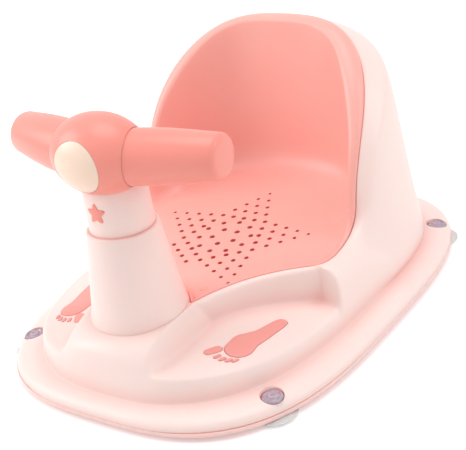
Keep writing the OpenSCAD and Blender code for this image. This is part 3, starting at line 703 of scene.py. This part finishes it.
def outWay(j):
    s, t = stations[j], seamWay(j)
    wall = t.cross(s["seam"] - footPoint(s)).normalized()
    if s["tall"] == 1:
        return wall
    flat = Vector((cos(radians(s["way"])), sin(radians(s["way"])), 0))
    flat = (flat - flat.dot(t) * t).normalized()
    grown = (s["tall"] - walk["cornerTall"]) / (1 - walk["cornerTall"])
    return mix(flat, wall, ease(grown)).normalized()


def rollPoint(j, turn):
    s, out = stations[j], outWay(j)
    r, up, a = rollR(s), out.cross(seamWay(j)), radians(turn)
    return s["seam"] - r * out + r * (cos(a) * out + linerForm["rollFlat"] * sin(a) * up)


def wallPoint(j, t):
    top, foot = rollPoint(j, 180), footPoint(stations[j])
    bend = min(mix(*linerForm["footBend"], stations[j]["tall"]), 0.45 * (top - foot).length)
    low, flat = foot + bend * (top - foot).normalized(), foot + bend * (panMiddle - foot).normalized()
    return mix(top, low, 2 * t) if t < 0.5 else bendLine(low, foot, flat, 2 * t - 1)


def linerStation(j):
    pan = [mix(panMiddle, wallPoint(j, 1), f) for f in linerForm["panSteps"]]
    wall = [wallPoint(j, t) for t in reversed(linerForm["wallSteps"])]
    return pan + wall + [rollPoint(j, a) for a in reversed(linerForm["rollTurns"])]


half = [linerStation(j) for j in range(lastStation + 1)]
bm = bmesh.new()
first = loftRings(bm, [around([column[k] for column in half]) for k in range(len(half[0]))])
closeRing(bm, first, panMiddle)
liner = finishPiece(bm, "bucketLiner", 0, recalc=False)
thickened(liner, bucket["wall"], 1)
subdivided(liner, linerForm["levels"])
applyModifiers(liner)

starForm = {"tip": 75, "inner": 0.508, "ring": 0.315, "middle": 0.155,
            "hole": 5.2, "tipHole": 3, "shrink": 1.5, "drill": 12,
            "plate": [(0, -1), (80, -1), (80, -2.4), (78.6, -3.4), (0, -3.4)]}


def ray(way):
    return Vector((cos(radians(way)), sin(radians(way))))


spots = []
for a in [90 + 72 * i for i in range(5)]:
    for row in range(4):
        left = mix(ray(a), starForm["inner"] * ray(a + 36), row / 4)
        right = mix(ray(a), starForm["inner"] * ray(a - 36), row / 4)
        spots += [mix(left, right, i / row) for i in range(row + 1)] if row else [ray(a)]
    spots += [starForm["inner"] * mix(ray(a - 36), ray(a + 36), i / 4) for i in range(4)]
spots += [starForm["ring"] * ray(18 + 36 * i) for i in range(10)]
spots += [starForm["middle"] * ray(54 + 72 * i) for i in range(5)]

panTilt = Matrix.Rotation(radians(bucket["tilt"]), 3, "X")
panPlace = placeAt(*panMiddle, panTilt)
bm = bmesh.new()
for v in spots:
    r = mix(starForm["hole"], starForm["tipHole"], v.length ** starForm["shrink"]) / 2
    where = Matrix.Translation(Vector((v.x * starForm["tip"], v.y * starForm["tip"], 0)) * mm)
    bmesh.ops.create_cone(bm, cap_ends=True, segments=20, radius1=r * mm, radius2=r * mm,
                          depth=starForm["drill"] * mm, matrix=panPlace @ where)
combined(liner, spunPiece("starPlate", starForm["plate"], panPlace, 96), "UNION")
combined(liner, finishPiece(bm, "drills"))
(frontX, frontY), (sideX, sideY) = bossAt["front"], bossAt["side"]
frontBoss = spunPiece("frontBoss", tube(*fixings["frontBoss"]), placeAt(frontX, frontY, 0), 32)
sideBoss = spunPiece("sideBoss", tube(*fixings["sideBoss"]), placeAt(sideX, sideY, 0), 32)
markPlace = placeAt(frontX, frontY, panZ(frontY), panTilt)
bossMark = spunPiece("bossMark", fixings["bossMark"], markPlace, 32)
bosses = bothSides(frontBoss) + bothSides(sideBoss) + bothSides(bossMark)
liner = smooth(joined("seatLiner", [liner] + bosses), 40)
dress(liner, bucketCoral, "liner", "seat_liner")

# base ring, with a fine groove against the shell
ride, ringW, ringTop = base["ride"], base["ringW"], base["ride"] + base["ring"]
ringForm = {"profile": [(0.25, ringTop), (0.15, ringTop - 0.3), (0.15, ride + 0.8), (0.9, ride + 0.1),
                        (1.6, ride), (ringW - 1, ride), (ringW, ride + 0.8), (ringW, ringTop)],
            "segments": 288,
            "bell": [(0, 3), (13.4, 3), (12.8, 4), (10.6, 5.6), (8.6, 7.4), (8.2, 8), (8.2, 12), (0, 12)],
            "screwRoom": [(0, 0), (3.8, 0), (3.8, 6.2), (1.9, 6.2), (1.9, 12), (0, 12)]}
ways = [i * 360 / ringForm["segments"] for i in range(ringForm["segments"])]
ringLines = [[(*baseEdge(way, inset), z) for way in ways] for inset, z in ringForm["profile"]]
bm = bmesh.new()
loftRings(bm, ringLines + [ringLines[0]])
ring = finishPiece(bm, "baseRing", 35)
rooms = []
for x, y in cups.values():
    rooms += bothSides(spunPiece("cupRoom", ringForm["bell"], placeAt(x, y, 0), 64))
for x, y in screwSpots:
    rooms += bothSides(spunPiece("screwRoom", ringForm["screwRoom"], placeAt(x, y, 0), 24))
combined(ring, joined("rooms", rooms))
smooth(ring, 35)
dress(ring, pale, "base_ring", "base_ring")

# stem with the star laid into it
bm = bmesh.new()
bm.from_mesh(nodes["stem_star"].data)
bmesh.ops.remove_doubles(bm, verts=bm.verts, dist=1e-6)
star = finishPiece(bm, "stemStar", 30)
dress(star, coral, "star_inlay", "stem_star")
stemR, stemTop, neck, stemBore = post["stemD"] / 2, post["stemTop"], post["neckR"], post["boreR"]
stemLine = [(18, plugFoot), (24.2, plugFoot), (24.2, h - 0.5), (stemR, h - 0.5),
            (post["stemTopD"] / 2, stemTop), (neck, stemTop), (neck, post["neckTop"]),
            (stemBore, post["neckTop"]), (stemBore, 106), (18, plugFoot)]
stemRounds = [0, 1, 0, 0.5, 0.4, 0, 0.5, 0.5, 0, 0]
stem = spunPiece("handleStem", roundedProfile(stemLine, stemRounds), postPlace, 128)
dress(stem, pale, "stem", "handle_stem")

# hub, its cover and the two grips
handle = {"y": -144, "z": 200, "r": 31.25, "halfW": 41, "soft": 0.35, "room": 0.25,
          "gripY": -147.5, "gripZ": 198.5, "gripD": 43, "endD": 34, "reach": 112, "sweep": 15,
          "rootX": 26, "rootGap": 0.2, "endX": 97.5, "endTurn": 7, "endRound": 4,
          "capD": 41, "capPlane": 19.75, "capDown": 1, "capSoft": 0.5}
hubPlace = placeAt(0, handle["y"], handle["z"])
gripTurn = Matrix.Rotation(radians(handle["sweep"]), 3, "Z") @ Matrix.Rotation(radians(90), 3, "Y")
gripPlace = placeAt(0, handle["gripY"], handle["gripZ"], gripTurn)
capPlace = placeAt(0, handle["y"], handle["z"] - handle["capDown"], Matrix.Rotation(radians(90), 3, "X"))
gripR, endR, capR, room = handle["gripD"] / 2, handle["endD"] / 2, handle["capD"] / 2, handle["room"]


def hubBall(name):
    turns = [pi * (i / 36 - 0.5) for i in range(37)]
    line = [(handle["r"] * cos(a), handle["halfW"] * sin(a)) for a in turns]
    return spunPiece(name, line, hubPlace @ Matrix.Rotation(radians(90), 4, "Y"), 128)


hub = hubBall("handleHub")
collar = [(0, stemTop), (25.4, stemTop), (26, 190), (0, 190)]
combined(hub, spunPiece("hubCollar", collar, postPlace, 96), "UNION")
neckRoom = [(0, 120), (60, 120), (60, stemTop), (neck + 0.3, stemTop), (neck + 0.3, 193), (0, 193)]
combined(hub, spunPiece("neckRoom", neckRoom, postPlace, 96))
bm = reopened(spunPiece("gripRoom", drum(gripR + room, 0, 70), gripPlace, 96))


def cutUpright(bm, spot, facing):
    # what lies behind an upright plane through the spot is taken off and the end is closed
    geom = bm.verts[:] + bm.edges[:] + bm.faces[:]
    cut = bmesh.ops.bisect_plane(bm, geom=geom, plane_co=Vector(spot) * mm, plane_no=facing,
                                 clear_inner=True)
    rim = [e for e in cut["geom_cut"] if isinstance(e, bmesh.types.BMEdge)]
    bmesh.ops.contextual_create(bm, geom=rim)
    bmesh.ops.recalc_face_normals(bm, faces=bm.faces)
    return rim


cutUpright(bm, (handle["rootX"], 0, 0), (1, 0, 0))
for cutter in bothSides(linked("gripRoom", bm)):
    combined(hub, cutter)
combined(hub, spunPiece("capRoom", drum(capR + room, handle["capPlane"], 50), capPlace, 96))
smooth(softened(hub, handle["soft"]), 40)
dress(hub, coral, "hub", "handle_hub")

cap = hubBall("hubCap")
combined(cap, spunPiece("capDrum", drum(capR, handle["capPlane"] + 0.05, 50), capPlace, 96), "INTERSECT")
smooth(softened(cap, handle["capSoft"], 3), 40)
dress(cap, cream, "cap", "hub_cap")

gripLine = [(0, 2), (gripR, 2), (gripR - 0.3, 58), (endR - 1.1, handle["reach"]), (0, handle["reach"])]
bm = reopened(spunPiece("grip", roundedProfile(gripLine, [0, 0.6, 20, 0, 0], 5), gripPlace, 128))
cutUpright(bm, (handle["rootX"] + handle["rootGap"], 0, 0), (1, 0, 0))
endY, turn = handle["gripY"] + handle["endX"] * tan(radians(handle["sweep"])), radians(handle["endTurn"])
endRim = cutUpright(bm, (handle["endX"], endY, handle["gripZ"]), (-cos(turn), -sin(turn), 0))
roundEdges(bm, endRim, handle["endRound"], 4)
rightGrip = linked("rightGrip", bm)
leftGrip = mirroredCopy(rightGrip, "leftGrip")
dress(smooth(rightGrip, 40), coral, "grips", "right_grip")
dress(smooth(leftGrip, 40), coral, "grips", "left_grip")

# pads of the footprints
soleFoot = -footForm["under"]
raised = strokeSolid("rightSole", printShapes, soleFoot, footForm["rise"], 0.0, footForm["soft"])
plate = strokeSolid("rightPlate", [(footForm["plate"], (3, 0), 64)], soleFoot - footForm["plateT"],
                    soleFoot + 0.05)
rightPad = smooth(joined("rightFootPad", [raised, plate]), 40)
leftPad = mirroredCopy(rightPad, "leftFootPad")
dress(rightPad, sole, "foot_pads", "right_foot_pad")
dress(smooth(leftPad, 40), sole, "foot_pads", "left_foot_pad")

# suction cups, each with a ring moulded into its head
neckFoot = cupForm["neckFoot"]
cupLine = [(0, 3), (6, 2.5), (11, 1.1), (13.8, 0), (14.8, 0), (17.8, 2.1), (18.2, 2.9), (17.7, 3.4),
           (13, 3.7), (10, 5.4), (7.8, 7.4), (7.6, neckFoot), (neckR, neckFoot), (neckR, headZ),
           (headR, headZ), (headR, 16.2), (7.8, 17), (6.5, 17.5), (5.8, 16.8), (5, 16.5), (4.2, 16.8),
           (3.6, 17.6), (1.9, 17.7), (1.3, 17.1), (0, 16.9)]
for end, (x, y) in cups.items():
    cup = spunPiece("cup_" + end + "_right", cupLine, placeAt(x, y, 0), 64, 30)
    twin = spunPiece("cup_" + end + "_left", cupLine, placeAt(-x, y, 0), 64, 30)
    dress(cup, vinyl, "cups", "suction_cup_" + end + "_right")
    dress(twin, vinyl, "cups", "suction_cup_" + end + "_left")

for name in ("hub_screw", "stem_screw", "liner_screws", "base_screws"):
    nodes[name].data.materials.clear()
    nodes[name].data.materials.append(steel)
    print("steel on", name)


def operationNode(tree, operation, kind="ShaderNodeMath"):
    node = tree.nodes.new(kind)
    node.operation = operation
    return node


def seenDirectly(tree):
    # 1 for the camera, mirrors and clear pieces, 0 for the rays that carry light
    rays = tree.nodes.new("ShaderNodeLightPath")
    either, seen, link = operationNode(tree, "MAXIMUM"), operationNode(tree, "MAXIMUM"), tree.links.new
    link(rays.outputs["Is Camera Ray"], either.inputs[0])
    link(rays.outputs["Is Glossy Ray"], either.inputs[1])
    link(either.outputs[0], seen.inputs[0])
    link(rays.outputs["Is Transmission Ray"], seen.inputs[1])
    return seen.outputs[0]


# studio: floor, world and three soft lamps, in metres
studio = {"floorRadius": 9.0, "world": 0.61, "floor": (246, 244, 243), "floorLift": 0.34,
          "under": (0.135, 0.19), "fade": (0.85, 1.05), "aim": (0, -0.02, 0.08)}
bm = bmesh.new()
bmesh.ops.create_circle(bm, cap_ends=True, segments=96, radius=studio["floorRadius"])
floorPiece = finishPiece(bm, "studioFloor", 30)
floorMat = bpy.data.materials.new("studioFloor")
floorMat.use_nodes = True
tree = floorMat.node_tree
shader = tree.nodes["Principled BSDF"]
shader.inputs["Base Color"].default_value = tone(*studio["floor"])
shader.inputs["Roughness"].default_value = 0.9
shader.inputs["Specular IOR Level"].default_value = 0.1
# the floor's own glow keeps it pale to the eye beside the part, and fades out under it
glow, both = tree.nodes.new("ShaderNodeEmission"), tree.nodes.new("ShaderNodeAddShader")
where, outside = tree.nodes.new("ShaderNodeTexCoord"), tree.nodes.new("ShaderNodeMapRange")
lift, beside = operationNode(tree, "MULTIPLY"), operationNode(tree, "MULTIPLY")
scaled = operationNode(tree, "MULTIPLY", "ShaderNodeVectorMath")
far = operationNode(tree, "LENGTH", "ShaderNodeVectorMath")
lift.inputs[1].default_value = studio["floorLift"]
scaled.inputs[1].default_value = (1 / studio["under"][0], 1 / studio["under"][1], 0)
outside.inputs["From Min"].default_value, outside.inputs["From Max"].default_value = studio["fade"]
link = tree.links.new
link(seenDirectly(tree), lift.inputs[0])
link(where.outputs["Object"], scaled.inputs[0])
link(scaled.outputs["Vector"], far.inputs[0])
link(far.outputs["Value"], outside.inputs["Value"])
link(lift.outputs[0], beside.inputs[0])
link(outside.outputs["Result"], beside.inputs[1])
link(beside.outputs[0], glow.inputs["Strength"])
link(shader.outputs[0], both.inputs[0])
link(glow.outputs[0], both.inputs[1])
link(both.outputs[0], tree.nodes["Material Output"].inputs["Surface"])
floorPiece.data.materials.append(floorMat)
floorPiece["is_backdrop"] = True

world = bpy.data.worlds.new("studioWorld")
bpy.context.scene.world = world
world.use_nodes = True
tree = world.node_tree
light = tree.nodes["Background"]
light.inputs["Color"].default_value = (1, 0.985, 0.975, 1)
light.inputs["Strength"].default_value = studio["world"]
behind = tree.nodes.new("ShaderNodeBackground")
behind.inputs["Color"].default_value = (1, 1, 1, 1)
chosen = tree.nodes.new("ShaderNodeMixShader")
link = tree.links.new
link(seenDirectly(tree), chosen.inputs["Fac"])
link(light.outputs[0], chosen.inputs[1])
link(behind.outputs[0], chosen.inputs[2])
link(chosen.outputs[0], tree.nodes["World Output"].inputs["Surface"])

lamps = {"leftBox": {"at": (-1.3, -0.8, 1.0), "size": 1.2, "power": 12.5},
         "rightBox": {"at": (1.4, 0.5, 1.0), "size": 1.2, "power": 6.5},
         "topBox": {"at": (0, 0, 2.0), "size": 1.4, "power": 13}}
for name, lamp in lamps.items():
    data = bpy.data.lights.new(name, "AREA")
    data.shape, data.size, data.energy = "DISK", lamp["size"], lamp["power"]
    lampObj = bpy.data.objects.new(name, data)
    bpy.context.scene.collection.objects.link(lampObj)
    lampObj.location = lamp["at"]
    shine = Vector(studio["aim"]) - Vector(lamp["at"])
    lampObj.rotation_euler = shine.to_track_quat("-Z", "Y").to_euler()

# the photo's view: angles in degrees, target and distance in mm
view = {"azimuth": 37.996, "elevation": 24.739, "roll": -9.301, "target": (-10.476, 22, 74),
        "distance": 1012.209, "lens": 87.61, "shiftX": -0.01089, "shiftY": -0.03446}
a, e, ro = radians(view["azimuth"]), radians(view["elevation"]), radians(view["roll"])
across = Vector((cos(a), sin(a), 0))
toCamera = Vector((sin(a) * cos(e), -cos(a) * cos(e), sin(e)))
upward = Vector((-sin(a) * sin(e), cos(a) * sin(e), cos(e)))
right = across * cos(ro) + upward * sin(ro)
up = -across * sin(ro) + upward * cos(ro)
cameraData = bpy.data.cameras.new("camera")
camera = bpy.data.objects.new("camera", cameraData)
bpy.context.scene.collection.objects.link(camera)
camera.matrix_world = Matrix.Translation((Vector(view["target"]) + toCamera * view["distance"]) * mm) \
    @ Matrix((right, up, toCamera)).transposed().to_4x4()
cameraData.sensor_width, cameraData.lens = 36, view["lens"]
cameraData.shift_x, cameraData.shift_y = view["shiftX"], view["shiftY"]
cameraData.clip_start, cameraData.clip_end = 0.05, 40
bpy.context.scene.camera = camera
bpy.context.scene.view_settings.view_transform = "Standard"
print("floor, light and camera are set")


def plain(value):
    return [plain(v) for v in value] if hasattr(value, "__len__") else float(value)


{"cad": plain(cadBox), "visual": plain(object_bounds())}
